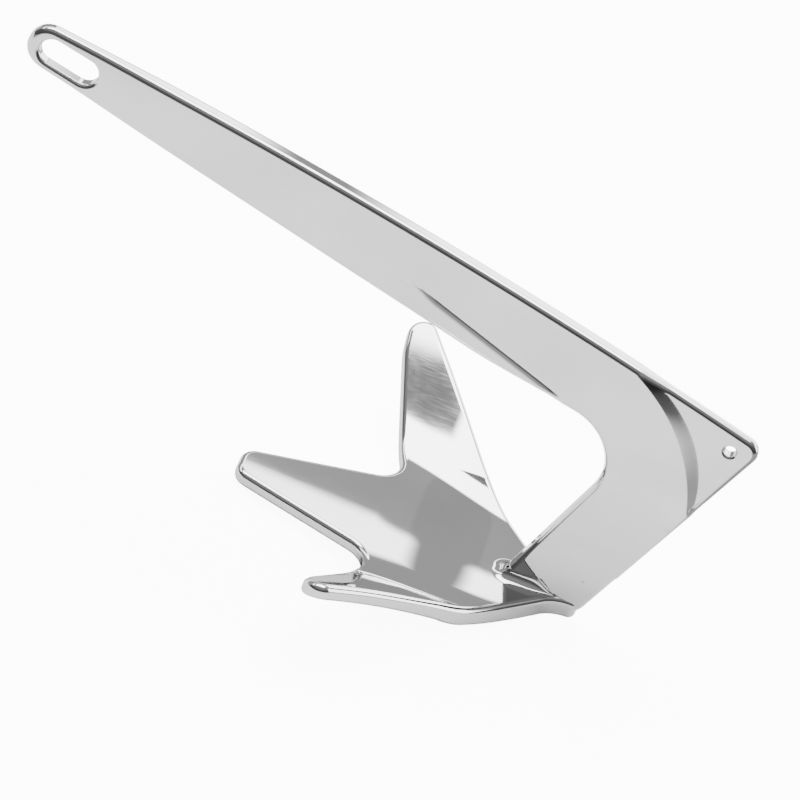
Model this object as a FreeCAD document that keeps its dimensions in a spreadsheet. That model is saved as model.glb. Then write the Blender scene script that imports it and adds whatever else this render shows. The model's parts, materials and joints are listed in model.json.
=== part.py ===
import FreeCAD, Part
import math
import os

import Sketcher

# Claw anchor, one polished steel casting: a flat shank with a slotted eye, a heel corner
# with a trip-line hole, and an arm that runs down into a three-fluke scoop.
#
# Working frame: X runs along the shank from the eye (-X) to the heel (+X), Y is square to
# the flat sides, Z is up. The zero point is near the corner of the heel.
# Claw frame: "forward" runs from the crown to the tip of the middle fluke, "rise" is square
# to it. At the end the casting is tipped until it stands on its crown and middle fluke, with
# the zero point below the middle of its box.

V = FreeCAD.Vector

SIZES = [
    ("shank_thick", 10.0, "thickness across the flat sides"),
    ("shank_round", 3.0, "rounding of the long edges"),
    ("eye_end", -421.5, "end of the eye"),
    ("eye_top", 8.2, "height of the top edge at the eye"),
    ("top_bow", 6.8, "bow of the top edge above its chord"),
    ("heel_top", 1.6, "height of the top edge at the heel"),
    ("eye_top_drop", 0.4, "how far the corner of the eye sits below the top edge"),
    ("bow_share", 0.93, "share of the top edge that is bowed"),
    ("eye_bottom", -15.2, "height of the lower edge at the eye"),
    ("belly_x", -140.0, "where the lower edge levels out"),
    ("belly_z", -35.4, "height of the lower edge there"),
    ("belly_round", 200.0, "radius with which it levels out"),
    ("throat_slope", 0.0, "slope of the lower edge into the throat, degrees"),
    ("eye_round", 12.1, "radius of the end of the eye"),
    ("eye_thick", 8.0, "thickness across the eye"),
    ("eye_taper_start", -345.0, "where the sides start to thin towards the eye"),
    ("eye_taper_end", -386.0, "where they reach the thickness of the eye"),
    ("eye_taper_round", 800.0, "radius at both ends of the taper"),
    ("slot_length", 33.0, "length of the shackle slot"),
    ("slot_height", 14.6, "height of the shackle slot"),
    ("slot_end_wall", 7.3, "metal between the slot and the end of the eye"),
    ("slot_drop", -4.3, "height of the middle of the slot"),
    ("slot_slope", 2.0, "slope of the slot, degrees"),
    ("slot_round", 2.0, "rounding of the edges of the slot"),
    ("heel_reach", 7.6, "furthest point of the back edge"),
    ("heel_reach_z", -10.0, "height of that point"),
    ("heel_round", 8.5, "radius of the heel corner"),
    ("arm_lean", 12.06, "lean of the back edge of the arm, degrees"),
    ("inner_x", -54.0, "a point on the throat edge of the arm, along the shank"),
    ("inner_z", -75.0, "height of that point"),
    ("arm_inner_lean", 10.2, "lean of the throat edge of the arm, degrees"),
    ("throat_round", 32.0, "radius of the throat"),
    ("foot_cover", 8.3, "how far the foot of the arm goes below the floor of the crown"),
    ("foot_round", 10.0, "radius of the foot of the arm"),
    ("web_thick", 7.4, "thickness of the heel corner"),
    ("web_arc_top", 82.0, "end of the crescent at the shank, degrees"),
    ("web_arc_foot", -2.0, "end of the crescent at the arm, degrees"),
    ("web_inner_x", -77.1, "centre of the foot of the crescent slope, along the shank"),
    ("web_inner_z", -67.7, "height of that centre"),
    ("web_inner_round", 75.0, "radius of the foot of the crescent slope"),
    ("web_outer_x", -110.5, "centre of the top of the crescent slope, along the shank"),
    ("web_outer_z", -104.3, "height of that centre"),
    ("web_outer_round", 116.0, "radius of the top of the crescent slope"),
    ("facet_end_x", -98.0, "end of the facet near the throat"),
    ("facet_end_z", -31.0, "height of its crease there"),
    ("facet_end_depth", 0.9, "depth of the facet there"),
    ("facet_start_x", -184.0, "where the crease of the facet starts"),
    ("facet_start_z", -16.5, "height of the crease there"),
    ("facet_depth", 2.6, "depth of the facet there"),
    ("facet_fade_x", -330.0, "where the facet has faded out"),
    ("facet_fade_z", -10.0, "height of its crease there"),
    ("facet_fade_depth", 0.03, "depth of the facet there"),
    ("trip_hole", 6.5, "diameter of the trip-line hole"),
    ("trip_hole_x", -5.6, "trip-line hole, along the shank"),
    ("trip_hole_z", -9.6, "trip-line hole, height"),
    ("trip_hole_bevel", 0.7, "bevel of the rim of the trip-line hole"),
    ("claw_angle", 10.0, "angle of the middle fluke to the shank, degrees"),
    ("scoop_depth", 128.2, "from the zero point down to the floor of the scoop"),
    ("scoop_thick", 8.4, "thickness of the flukes"),
    ("crown_thick", 13.5, "thickness of the scoop at the crown"),
    ("crown_ridge", 94.0, "where the crown is thickest, forward"),
    ("crown_length", 28.0, "length over which the crown thins to a fluke"),
    ("crown_half", 75.0, "half width of the thick crown"),
    ("floor_level", 165.0, "how far forward the floor stops rising"),
    ("floor_climb", 75.0, "length over which the floor rises"),
    ("floor_drop", 5.5, "how much lower the floor lies at the crown"),
    ("floor_radius", 900.0, "radius of the floor's shallow hollow"),
    ("knee_half", 60.0, "bend between floor and flank, from the middle plane"),
    ("knee_angle", 12.4, "how the two bends spread forward, degrees"),
    ("knee_soft", 5.0, "softness of the bend"),
    ("flank_angle", 29.7, "slope of the flanks, degrees"),
    ("crown_back", 47.3, "back end of the scoop, forward of the zero point"),
    ("middle_tip", 243.5, "tip of the middle fluke"),
    ("middle_tip_half", 11.2, "half width of the middle fluke at its tip"),
    ("middle_tip_round", 10.0, "radius of the corners of the middle tip"),
    ("notch_forward", 158.2, "corner of the notch between two flukes, forward"),
    ("notch_half", 37.4, "corner of the notch, from the middle plane"),
    ("notch_round", 15.0, "radius of the notch"),
    ("brow_forward", 184.6, "bend of the front edge of an outer fluke, forward"),
    ("brow_inset", 39.0, "the bend, inside the corner of the outer tip"),
    ("brow_round", 40.0, "radius of the bend"),
    ("outer_tip_forward", 190.5, "corner of the tip of an outer fluke, forward"),
    ("outer_tip_half", 151.0, "corner of the tip, from the middle plane"),
    ("outer_tip_round", 8.5, "radius of an outer tip"),
    ("back_bend_forward", 119.0, "bend of the back edge of an outer fluke, forward"),
    ("back_bend_half", 67.0, "the bend, from the middle plane"),
    ("back_bend_round", 250.0, "radius of the bend"),
    ("sweep_forward", 60.0, "where the back edge meets the arm, forward"),
    ("sweep_round", 18.0, "radius with which it runs into the arm"),
    ("crown_back_round", 4.8, "radius of the corners of that back end"),
    ("rim_round", 3.2, "rounding of the rim of the scoop"),
    ("flare_round", 6.0, "radius of the hollow corner where the arm meets the scoop"),
    ("flare_back", 62.0, "where that corner runs out on the sides of the arm, forward"),
    ("flare_lead", 2.3, "length over which it starts there"),
]

# flat strips across the hollow corner, and how deep its solid is sunk into arm and scoop
FLARE_STRIPS = 5
FLARE_SINK = 2.0
FLARE_OVERLAP = 0.1
# spare length of a cutting tool past the metal it cuts, and of a blank past its trimmed edge
CUT_MARGIN = 30.0
BLANK_MARGIN = 5.0
# cross-sections of the scoop, and points on each half of one
SCOOP_SECTIONS = 6
SCOOP_POINTS = 9
# how closely two positions on the model have to agree when an edge is looked up
MATCH = 0.01
# how far the slope round the heel corner is cut on past the flat sides
WEB_OVERCUT = 0.3
# mesh tolerance when the resting pose is worked out
REST_TOLERANCE = 0.05


def make_sheet(doc):
    """Spreadsheet that holds every driving dimension as a plain number."""
    sheet = doc.addObject("Spreadsheet::Sheet", "Sizes")
    for row, (alias, value, meaning) in enumerate(SIZES, start=1):
        sheet.set(f"A{row}", alias)
        sheet.set(f"B{row}", str(value))
        sheet.set(f"C{row}", meaning)
        sheet.setAlias(f"B{row}", alias)
    doc.recompute()
    return sheet


def plane_of(body, role):
    """Origin plane of a body, found by its role."""
    return next(item for item in body.Origin.OriginFeatures if item.Role == role)


def new_sketch(body, name, role, offset=None):
    """Sketch on one of the body's own origin planes."""
    sketch = body.newObject("Sketcher::SketchObject", name)
    sketch.AttachmentSupport = [(plane_of(body, role), "")]
    sketch.MapMode = "FlatFace"
    if offset is not None:
        sketch.AttachmentOffset = offset
    return sketch


def rounded_outline(corners):
    """Lines and tangent arcs of a closed outline, from (x, y, radius) corners."""
    points = [V(x, y, 0) for x, y, radius in corners]
    starts, ends, arcs = [], [], []
    for index, (x, y, radius) in enumerate(corners):
        before = (points[index - 1] - points[index]).normalize()
        after = (points[(index + 1) % len(points)] - points[index]).normalize()
        half_angle = before.getAngle(after) / 2
        reach = radius / math.tan(half_angle)
        enter = points[index] + before * reach
        leave = points[index] + after * reach
        starts.append(enter)
        ends.append(leave)
        bisector = (before + after).normalize()
        middle = points[index] + bisector * (radius / math.sin(half_angle) - radius)
        arcs.append(middle if radius > 0 else None)
    shapes = []
    for index in range(len(points)):
        if arcs[index] is not None:
            shapes.append(Part.Arc(starts[index], arcs[index], ends[index]))
        following = (index + 1) % len(points)
        if ends[index].distanceToPoint(starts[following]) > 1e-4:
            shapes.append(Part.LineSegment(ends[index], starts[following]))
    return shapes


def fill_sketch(sketch, shapes):
    """Adds fixed geometry to a sketch."""
    first = sketch.GeometryCount
    sketch.addGeometry(shapes, False)
    for index in range(first, sketch.GeometryCount):
        sketch.addConstraint(Sketcher.Constraint("Block", index))


def line_meet(point_a, angle_a, point_b, angle_b):
    """Meeting point of two lines given by a point and an angle in degrees."""
    direction_a = V(math.cos(math.radians(angle_a)), math.sin(math.radians(angle_a)), 0)
    direction_b = V(math.cos(math.radians(angle_b)), math.sin(math.radians(angle_b)), 0)
    gap = V(point_b[0] - point_a[0], point_b[1] - point_a[1], 0)
    share = gap.cross(direction_b).z / direction_a.cross(direction_b).z
    return point_a[0] + share * direction_a.x, point_a[1] + share * direction_a.y


class Claw:
    """Turns claw-frame lengths into working-frame points and back."""

    def __init__(self, sheet):
        self.cosine = math.cos(math.radians(sheet.claw_angle))
        self.sine = math.sin(math.radians(sheet.claw_angle))

    def point(self, forward, rise):
        """Side-view point (X, Z) of a claw-frame point."""
        return (
            -forward * self.cosine - rise * self.sine,
            -forward * self.sine + rise * self.cosine,
        )

    def lengths(self, x, z):
        """Forward and rise of a side-view point."""
        return -x * self.cosine - z * self.sine, -x * self.sine + z * self.cosine


def shank_outline(sheet, claw):
    """Side view of the shank and arm as rounded corners."""
    back = -90 - sheet.arm_lean
    inner = -90 - sheet.arm_inner_lean
    chord_height = (sheet.eye_top + sheet.heel_top) / 2
    bow_point = (sheet.eye_end / 2, chord_height + 2 * sheet.top_bow)
    bow_half = -sheet.eye_end / 2
    bow_radius = sheet.bow_share * (bow_half ** 2 + sheet.top_bow ** 2) / (2 * sheet.top_bow)
    top_angle = math.degrees(math.atan2(sheet.heel_top - bow_point[1], -bow_point[0]))
    back_point = (sheet.heel_reach, sheet.heel_reach_z)
    heel = line_meet(bow_point, top_angle, back_point, back)
    eye_top = (sheet.eye_end, sheet.eye_top - sheet.eye_top_drop)
    eye_bottom = (sheet.eye_end, sheet.eye_bottom)
    belly = (sheet.belly_x, sheet.belly_z)
    inner_point = (sheet.inner_x, sheet.inner_z)
    throat = line_meet(belly, sheet.throat_slope, inner_point, inner)
    foot_depth = sheet.scoop_depth + sheet.floor_drop + sheet.foot_cover
    foot_point = claw.point(sheet.crown_back, -foot_depth)
    foot_slope = 180 + sheet.claw_angle
    foot_back = line_meet(back_point, back, foot_point, foot_slope)
    foot_front = line_meet(inner_point, inner, foot_point, foot_slope)
    return [
        (*eye_bottom, sheet.eye_round),
        (*belly, sheet.belly_round),
        (*throat, sheet.throat_round),
        (*foot_front, 0.0),
        (*foot_back, sheet.foot_round),
        (*heel, sheet.heel_round),
        (*bow_point, bow_radius),
        (*eye_top, sheet.eye_round - sheet.eye_top_drop),
    ]


def slot_outline(sheet):
    """Side view of the shackle slot: a long hole with round ends."""
    radius = sheet.slot_height / 2
    start_x = sheet.eye_end + sheet.slot_end_wall + radius
    span = sheet.slot_length - sheet.slot_height
    slope = math.radians(-sheet.slot_slope)
    along = V(math.cos(slope), math.sin(slope), 0)
    across = V(-along.y, along.x, 0)
    left = V(start_x, sheet.slot_drop, 0)
    right = left + along * span
    return [
        Part.Arc(left + across * radius, left - along * radius, left - across * radius),
        Part.LineSegment(left - across * radius, right - across * radius),
        Part.Arc(right - across * radius, right + along * radius, right + across * radius),
        Part.LineSegment(right + across * radius, left + across * radius),
    ]


def longest_edges(shape, half):
    """Longest edge in each flat side; a rounding runs on from it along the outline."""
    names = []
    for side in (-half, half):
        found = [(edge.Length, f"Edge{number}") for number, edge in enumerate(shape.Edges, 1)
                 if all(abs(vertex.Y - side) < 0.001 for vertex in edge.Vertexes)]
        names.append(max(found)[1])
    return names


def slot_rims(shape, sheet):
    """Rim of the shackle slot on both sides: the walls' edges that don't run across."""
    radius = sheet.slot_height / 2
    names = []
    for number, face in enumerate(shape.Faces, start=1):
        middle = face.CenterOfMass
        across = max(vertex.Y for vertex in face.Vertexes)
        across -= min(vertex.Y for vertex in face.Vertexes)
        inside = abs(middle.x - sheet.eye_end - sheet.slot_end_wall - sheet.slot_length / 2)
        if across < sheet.eye_thick / 2 or inside > sheet.slot_length / 2:
            continue
        if abs(middle.z - sheet.slot_drop) > radius + 1.0 or face.Area > sheet.shank_thick * 40:
            continue
        for edge in face.Edges:
            if edge.Vertexes[0].Y * edge.Vertexes[-1].Y > 0:
                names += [f"Edge{index}" for index, other in enumerate(shape.Edges, 1)
                          if other.isSame(edge)]
    return sorted(set(names))


def make_shank(doc, sheet, claw):
    """Shank, heel and arm: one bar cut from its side view, with its eye and holes."""
    body = doc.addObject("PartDesign::Body", "ShankAndArm")
    half = sheet.shank_thick / 2
    outline = new_sketch(body, "ShankOutline", "XZ_Plane")
    fill_sketch(outline, rounded_outline(shank_outline(sheet, claw)))
    bar = body.newObject("PartDesign::Pad", "ShankBar")
    bar.Profile = outline
    bar.Midplane = True
    bar.setExpression("Length", "Sizes.shank_thick")
    doc.recompute()

    taper_plan = new_sketch(body, "EyeTaperPlan", "XY_Plane")
    beyond = sheet.eye_end - half
    for side in (-1, 1):
        fill_sketch(taper_plan, rounded_outline([
            (beyond, side * sheet.eye_thick / 2, 0.0),
            (sheet.eye_taper_end, side * sheet.eye_thick / 2, sheet.eye_taper_round),
            (sheet.eye_taper_start, side * half, sheet.eye_taper_round),
            (sheet.eye_taper_start + 2 * half, side * half, 0.0),
            (sheet.eye_taper_start + 2 * half, side * 2 * half, 0.0),
            (beyond, side * 2 * half, 0.0),
        ]))
    taper = body.newObject("PartDesign::Pocket", "EyeTaper")
    taper.Profile = taper_plan
    taper.Type = "ThroughAll"
    taper.Midplane = True
    doc.recompute()

    edges = body.newObject("PartDesign::Fillet", "LongEdgeRound")
    edges.Base = (taper, longest_edges(taper.Shape, half))
    edges.setExpression("Radius", "Sizes.shank_round")
    doc.recompute()

    slot_plan = new_sketch(body, "ShackleSlotPlan", "XZ_Plane")
    fill_sketch(slot_plan, slot_outline(sheet))
    slot = body.newObject("PartDesign::Pocket", "ShackleSlot")
    slot.Profile = slot_plan
    slot.Type = "ThroughAll"
    slot.Midplane = True
    doc.recompute()

    rim = body.newObject("PartDesign::Fillet", "SlotRimRound")
    rim.Base = (slot, slot_rims(slot.Shape, sheet))
    rim.setExpression("Radius", "Sizes.slot_round")
    doc.recompute()
    return body


def circle_point(centre, radius, angle):
    """Point on a circle in a sketch, its angle in degrees."""
    turn = math.radians(angle)
    return V(centre[0] + radius * math.cos(turn), centre[1] + radius * math.sin(turn), 0)


def web_outline(sheet, share):
    """Outline of the thinned heel corner: share 0 at the foot of its slope, 1 at the top."""
    centre = (
        sheet.web_inner_x + share * (sheet.web_outer_x - sheet.web_inner_x),
        sheet.web_inner_z + share * (sheet.web_outer_z - sheet.web_inner_z),
    )
    radius = sheet.web_inner_round + share * (sheet.web_outer_round - sheet.web_inner_round)
    top = circle_point(centre, radius, sheet.web_arc_top)
    middle = circle_point(centre, radius, (sheet.web_arc_top + sheet.web_arc_foot) / 2)
    foot = circle_point(centre, radius, sheet.web_arc_foot)
    far_x = sheet.heel_reach + CUT_MARGIN
    return [
        Part.Arc(top, middle, foot),
        Part.LineSegment(foot, V(far_x, foot.y, 0)),
        Part.LineSegment(V(far_x, foot.y, 0), V(far_x, top.y, 0)),
        Part.LineSegment(V(far_x, top.y, 0), top),
    ]


def mirror_cut(doc, body, cut, name):
    """Repeats a cut on the other flat side."""
    other = body.newObject("PartDesign::Mirrored", name)
    other.Originals = [cut]
    other.MirrorPlane = (plane_of(body, "XZ_Plane"), [""])
    body.Tip = other
    doc.recompute()


def cut_web(doc, sheet, body):
    """Thins the heel corner on both sides, down to a crescent-shaped slope."""
    low = sheet.web_thick / 2
    high = sheet.shank_thick / 2 + WEB_OVERCUT
    top_share = (high - low) / (sheet.shank_thick / 2 - low)
    sketches = []
    for number, (height, share) in enumerate(((low, 0.0), (high, top_share)), start=1):
        place = FreeCAD.Placement(V(0, 0, height), FreeCAD.Rotation())
        sketch = new_sketch(body, f"WebStep{number}", "XZ_Plane", place)
        fill_sketch(sketch, web_outline(sheet, share))
        sketches.append(sketch)
    web = body.newObject("PartDesign::SubtractiveLoft", "WebRecess")
    web.Profile = sketches[0]
    web.Sections = sketches[1:]
    web.Ruled = True
    doc.recompute()
    mirror_cut(doc, body, web, "WebRecessMirrored")


def cut_flank(doc, sheet, body):
    """Shallow facet along the lower edge of the shank on both sides."""
    half = sheet.shank_thick / 2
    low = sheet.belly_z - CUT_MARGIN
    stations = [
        (sheet.facet_end_x, sheet.facet_end_z, sheet.facet_end_depth),
        (sheet.facet_start_x, sheet.facet_start_z, sheet.facet_depth),
        (sheet.facet_fade_x, sheet.facet_fade_z, sheet.facet_fade_depth),
    ]
    sketches = []
    for number, (x, crease_z, depth) in enumerate(stations, start=1):
        place = FreeCAD.Placement(V(0, 0, x), FreeCAD.Rotation())
        sketch = new_sketch(body, f"FacetSection{number}", "YZ_Plane", place)
        fill_sketch(sketch, rounded_outline([
            (half, crease_z, 0.0), (half + CUT_MARGIN, crease_z, 0.0),
            (half + CUT_MARGIN, low, 0.0), (half - depth, low, 0.0),
        ]))
        sketches.append(sketch)
    facet = body.newObject("PartDesign::SubtractiveLoft", "LowerFacet")
    facet.Profile = sketches[0]
    facet.Sections = sketches[1:]
    facet.Ruled = True
    doc.recompute()
    mirror_cut(doc, body, facet, "LowerFacetMirrored")


def cut_trip_hole(doc, sheet, body):
    """Round hole through the heel corner for a trip line, with a bevelled rim."""
    plan = new_sketch(body, "TripHolePlan", "XZ_Plane")
    centre = V(sheet.trip_hole_x, sheet.trip_hole_z, 0)
    fill_sketch(plan, [Part.Circle(centre, V(0, 0, 1), sheet.trip_hole / 2)])
    hole = body.newObject("PartDesign::Pocket", "TripHole")
    hole.Profile = plan
    hole.Type = "ThroughAll"
    hole.Midplane = True
    doc.recompute()
    rims = []
    for number, edge in enumerate(hole.Shape.Edges, start=1):
        curve = edge.Curve
        if curve.TypeId != "Part::GeomCircle" or abs(curve.Radius - sheet.trip_hole / 2) > MATCH:
            continue
        if abs(abs(curve.Center.y) - sheet.web_thick / 2) < MATCH:
            rims.append(f"Edge{number}")
    rim = body.newObject("PartDesign::Chamfer", "TripHoleBevel")
    rim.Base = (hole, rims)
    rim.setExpression("Size", "Sizes.trip_hole_bevel")
    doc.recompute()


def scoop_top(sheet, forward, side):
    """Rise of the scoop's upper face: a shallow floor with a flank bent up on each side."""
    short = min(max((sheet.floor_level - forward) / sheet.floor_climb, 0.0), 1.0)
    floor = -sheet.scoop_depth - sheet.floor_drop * short ** 2 * (3 - 2 * short)
    hollow = min(abs(side), sheet.knee_half) ** 2 / (2 * sheet.floor_radius)
    spread = math.tan(math.radians(sheet.knee_angle))
    knee = sheet.knee_half + spread * (forward - sheet.floor_level)
    beyond = abs(side) - knee
    slope = math.tan(math.radians(sheet.flank_angle))
    flank = slope * (beyond + math.hypot(beyond, sheet.knee_soft)) / 2
    start = slope * (math.hypot(knee, sheet.knee_soft) - knee) / 2
    return floor + hollow + flank - start


def scoop_wall(sheet, forward, side):
    """Thickness of the scoop: even along the flukes, thicker in a band across the crown."""
    ahead = (forward - sheet.crown_ridge) / sheet.crown_length
    outward = side / sheet.crown_half
    extra = sheet.crown_thick - sheet.scoop_thick
    return sheet.scoop_thick + extra * math.exp(-ahead ** 2) / (1 + outward ** 6)


def scoop_section(sheet, forward):
    """Closed cross-section of the scoop: upper curve, lower curve and two short ends."""
    reach = sheet.outer_tip_half + BLANK_MARGIN
    upper, lower = [], []
    for step in range(-SCOOP_POINTS, SCOOP_POINTS + 1):
        side = reach * step / SCOOP_POINTS
        rise = scoop_top(sheet, forward, side)
        slope = scoop_top(sheet, forward, side + 0.5) - scoop_top(sheet, forward, side - 0.5)
        across = math.atan(slope)
        wall = scoop_wall(sheet, forward, side)
        upper.append(V(side, rise, 0))
        lower.append(V(side + wall * math.sin(across), rise - wall * math.cos(across), 0))
    top_curve = Part.BSplineCurve()
    top_curve.interpolate(upper)
    low_curve = Part.BSplineCurve()
    low_curve.interpolate(lower)
    return [top_curve, Part.LineSegment(upper[-1], lower[-1]),
            low_curve, Part.LineSegment(lower[0], upper[0])]


def add_scoop_blank(doc, sheet, claw, body):
    """Trough of changing section that the flukes are cut from."""
    first = sheet.crown_back - BLANK_MARGIN
    last = sheet.middle_tip + BLANK_MARGIN
    lean = FreeCAD.Rotation(V(0, 1, 0), -sheet.claw_angle)
    # a sketch on the YZ plane has its local x along Y and its local y along Z
    upright = FreeCAD.Rotation(V(0, 1, 0), V(0, 0, 1), V(1, 0, 0), "ZXY")
    sections = []
    for number in range(SCOOP_SECTIONS):
        forward = first + (last - first) * number / (SCOOP_SECTIONS - 1)
        x, z = claw.point(forward, 0.0)
        turn = upright.inverted() * lean * upright
        place = FreeCAD.Placement(upright.inverted().multVec(V(x, 0, z)), turn)
        section = new_sketch(body, f"ScoopSection{number + 1}", "YZ_Plane", place)
        fill_sketch(section, scoop_section(sheet, forward))
        sections.append(section)
    blank = body.newObject("PartDesign::AdditiveLoft", "ScoopBlank")
    blank.Profile = sections[0]
    blank.Sections = sections[1:]
    doc.recompute()


def fluke_outline(sheet):
    """Plan of the three flukes as rounded corners, forward and to the side."""
    arm_half = sheet.shank_thick / 2
    side = [
        (sheet.middle_tip, sheet.middle_tip_half, sheet.middle_tip_round),
        (sheet.notch_forward, sheet.notch_half, sheet.notch_round),
        (sheet.brow_forward, sheet.outer_tip_half - sheet.brow_inset, sheet.brow_round),
        (sheet.outer_tip_forward, sheet.outer_tip_half, sheet.outer_tip_round),
        (sheet.back_bend_forward, sheet.back_bend_half, sheet.back_bend_round),
        (sheet.sweep_forward, arm_half, sheet.sweep_round),
        (sheet.crown_back, arm_half, sheet.crown_back_round),
    ]
    mirrored = [(forward, -half_width, radius) for forward, half_width, radius in side]
    return side + mirrored[::-1]


def cut_flukes(doc, sheet, body):
    """Cuts the trough to the plan of the three flukes, square to the claw's own plane."""
    turn = FreeCAD.Rotation(V(0, 1, 0), -sheet.claw_angle) * FreeCAD.Rotation(V(0, 0, 1), 180)
    plan = new_sketch(body, "FlukePlan", "XY_Plane", FreeCAD.Placement(V(0, 0, 0), turn))
    fill_sketch(plan, rounded_outline(fluke_outline(sheet)))
    reach_x = sheet.middle_tip + CUT_MARGIN
    reach_y = sheet.outer_tip_half + CUT_MARGIN
    fill_sketch(plan, rounded_outline([
        (0.0, -reach_y, 0.0), (reach_x, -reach_y, 0.0),
        (reach_x, reach_y, 0.0), (0.0, reach_y, 0.0),
    ]))
    trim = body.newObject("PartDesign::Pocket", "FlukeTrim")
    trim.Profile = plan
    trim.Type = "ThroughAll"
    trim.Midplane = True
    doc.recompute()
    return trim


def fluke_rims(shape, sheet, claw):
    """Upper and lower edge of the rim at the middle tip; a rounding runs on from them."""
    x, z = claw.point(sheet.middle_tip, 0.0)
    up = V(-claw.sine, 0, claw.cosine)
    rims = []
    for number, edge in enumerate(shape.Edges, start=1):
        middle = edge.valueAt((edge.FirstParameter + edge.LastParameter) / 2)
        offset = middle - V(x, 0, z)
        off_tip = offset - up * offset.dot(up)
        if abs(middle.y) < MATCH and off_tip.Length < MATCH:
            rims.append(f"Edge{number}")
    return rims


def make_scoop(doc, sheet, claw):
    """Three-fluke scoop: a trough of changing section, cut to its plan, its rim rounded."""
    body = doc.addObject("PartDesign::Body", "Scoop")
    add_scoop_blank(doc, sheet, claw, body)
    trim = cut_flukes(doc, sheet, body)
    bullnose = body.newObject("PartDesign::Fillet", "RimRound")
    bullnose.Base = (trim, fluke_rims(trim.Shape, sheet, claw))
    bullnose.setExpression("Radius", "Sizes.rim_round")
    doc.recompute()
    return body


def flare_section(sheet, front, offset):
    """Outline of the hollow corner at one height, that far outside the arm."""
    half = sheet.shank_thick / 2
    corner = sheet.shank_round + offset
    full = sheet.flare_back + sheet.flare_lead + offset
    return rounded_outline([
        (sheet.flare_back, -half + 2 * FLARE_OVERLAP, 0.0),
        (full, -half - offset, 0.0),
        (front + offset, -half - offset, corner),
        (front + offset, half + offset, corner),
        (full, half + offset, 0.0),
        (sheet.flare_back, half - 2 * FLARE_OVERLAP, 0.0),
    ])


def make_flare(doc, sheet, claw):
    """Hollow round corner that leads the scoop's floor up into the arm."""
    body = doc.addObject("PartDesign::Body", "Flare")
    floor = -sheet.scoop_depth - sheet.floor_drop
    lean = math.radians(sheet.arm_inner_lean + sheet.claw_angle)
    inner_forward, inner_rise = claw.lengths(sheet.inner_x, sheet.inner_z)
    levels = [(floor - FLARE_SINK, sheet.flare_round)]
    for step in range(FLARE_STRIPS):
        turn = math.radians(90.0 * step / FLARE_STRIPS)
        height = sheet.flare_round * (1 - math.cos(turn))
        levels.append((floor + height, sheet.flare_round * (1 - math.sin(turn))))
    levels.append((floor + sheet.flare_round + 2 * FLARE_OVERLAP, -FLARE_OVERLAP))
    turn = FreeCAD.Rotation(V(0, 1, 0), -sheet.claw_angle) * FreeCAD.Rotation(V(0, 0, 1), 180)
    sections = []
    for number, (rise, offset) in enumerate(levels, start=1):
        x, z = claw.point(0.0, rise)
        front = inner_forward + (inner_rise - rise) * math.tan(lean)
        section = new_sketch(body, f"FlareSection{number}", "XY_Plane",
                             FreeCAD.Placement(V(x, 0, z), turn))
        fill_sketch(section, flare_section(sheet, front, offset))
        sections.append(section)
    flare = body.newObject("PartDesign::AdditiveLoft", "HollowCorner")
    flare.Profile = sections[0]
    flare.Sections = sections[1:]
    flare.Ruled = True
    doc.recompute()
    return body


def lower_hull(points):
    """Lower convex hull of side-view points, from left to right."""
    hull = []
    for x, z in sorted(points):
        while len(hull) > 1:
            (ax, az), (bx, bz) = hull[-2], hull[-1]
            if (bx - ax) * (z - az) > (bz - az) * (x - ax):
                break
            hull.pop()
        hull.append((x, z))
    return hull


def resting_tilt(shape):
    """Turn about Y, in degrees, that stands the casting on its crown and middle fluke."""
    points, faces = shape.tessellate(REST_TOLERANCE)
    centre = shape.CenterOfGravity
    hull = lower_hull({(point.x, point.z) for point in points})
    for (ax, az), (bx, bz) in zip(hull, hull[1:]):
        along = V(bx - ax, 0, bz - az)
        reach = V(centre.x - ax, 0, centre.z - az).dot(along)
        if 0 < reach < along.dot(along):
            return math.degrees(math.atan2(bz - az, bx - ax))
    raise RuntimeError("the centre of mass is over no edge that the casting could stand on")


def join_casting(doc, bodies):
    """Joins the bodies into the one casting and stands it on the ground."""
    casting = doc.addObject("Part::MultiFuse", "Casting")
    casting.Label = "claw_anchor"
    casting.Shapes = bodies
    casting.Refine = True
    doc.recompute()
    tilt = FreeCAD.Rotation(V(0, 1, 0), resting_tilt(casting.Shape))
    casting.Placement = FreeCAD.Placement(V(0, 0, 0), tilt)
    doc.recompute()
    box = casting.Shape.optimalBoundingBox(True)
    shift = V(-(box.XMin + box.XMax) / 2, 0, -box.ZMin)
    casting.Placement = FreeCAD.Placement(shift, tilt)
    doc.recompute()
    return casting


def check_document(doc, casting):
    """Stops the build if a feature failed or the casting isn't one sound solid."""
    for item in doc.Objects:
        if "Invalid" in item.State or "Error" in item.State:
            raise RuntimeError(f"{item.Name} failed: {item.State}")
    shape = casting.Shape
    if shape.isNull() or not shape.isValid() or len(shape.Solids) != 1:
        raise RuntimeError(f"{casting.Label} isn't one valid solid")


def main():
    """Builds the document and writes the casting."""
    doc = FreeCAD.newDocument("ClawAnchor")
    sheet = make_sheet(doc)
    claw = Claw(sheet)
    shank = make_shank(doc, sheet, claw)
    cut_flank(doc, sheet, shank)
    cut_web(doc, sheet, shank)
    cut_trip_hole(doc, sheet, shank)
    scoop = make_scoop(doc, sheet, claw)
    flare = make_flare(doc, sheet, claw)
    casting = join_casting(doc, [shank, scoop, flare])
    check_document(doc, casting)
    print("resting pose", casting.Placement)
    os.makedirs("parts", exist_ok=True)
    casting.Shape.Solids[0].exportStep(f"parts/{casting.Label}.step")


main()
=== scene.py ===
"""Claw anchor: one mirror-polished steel casting, standing on a pale studio floor.

The casting's surfaces are worked out in two side frames and then placed by the two mounts
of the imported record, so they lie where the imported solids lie:

- working frame: X runs along the shank from the eye to the heel, Y is square to the flat
  sides, Z is up, in millimetres;
- claw frame: "forward" runs from the crown to the tip of the middle fluke, "rise" is square
  to it, "side" is Y.
"""

from __future__ import annotations

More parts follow.
